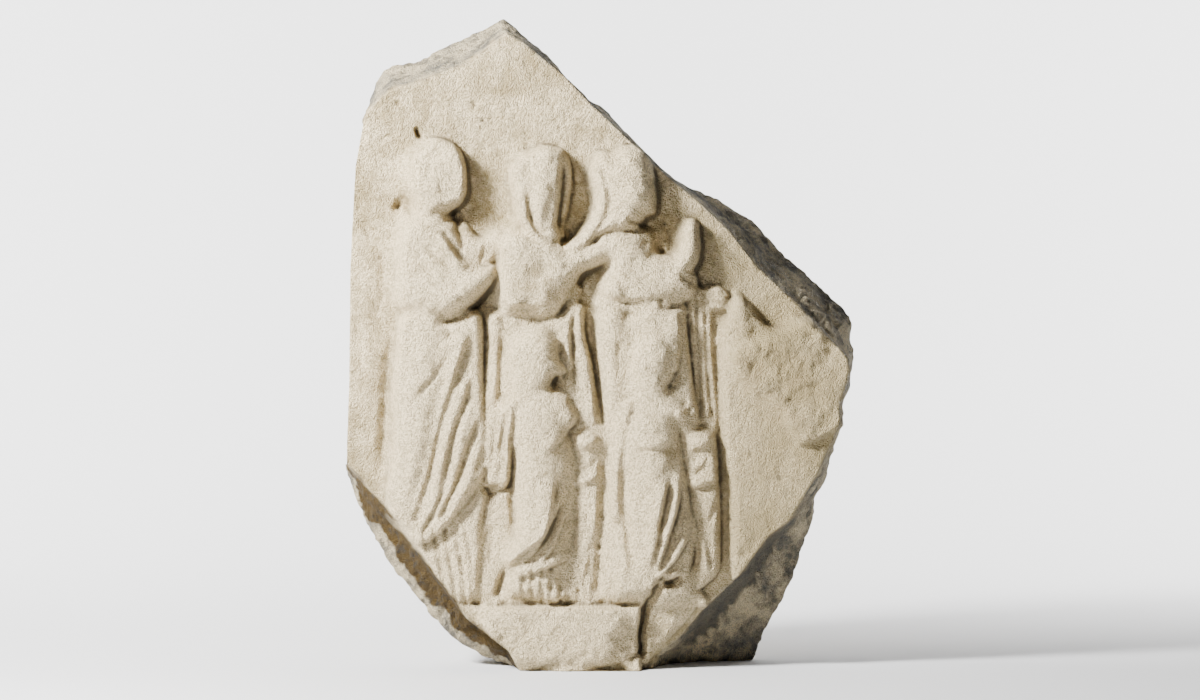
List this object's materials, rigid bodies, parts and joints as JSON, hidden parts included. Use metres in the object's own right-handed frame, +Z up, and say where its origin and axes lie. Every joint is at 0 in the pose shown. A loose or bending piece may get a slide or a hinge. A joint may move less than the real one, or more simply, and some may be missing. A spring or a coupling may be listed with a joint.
{
  "type": "marble relief fragment",
  "caption": "Broken marble relief slab carved with draped standing worshippers and children on a ledge; stands on its flat underside.",
  "frame": {"origin": "centre of the bounding box at the level of the underside", "axes": "+Z up, the carved face looks towards -Y, +X to the viewer's right"},
  "size_m": [0.4168, 0.109, 0.5268],
  "materials": {
    "marble": "matte, weathered"
  },
  "bodies": {
    "root": {"relief_fragment": "marble"}
  },
  "joints": []
}
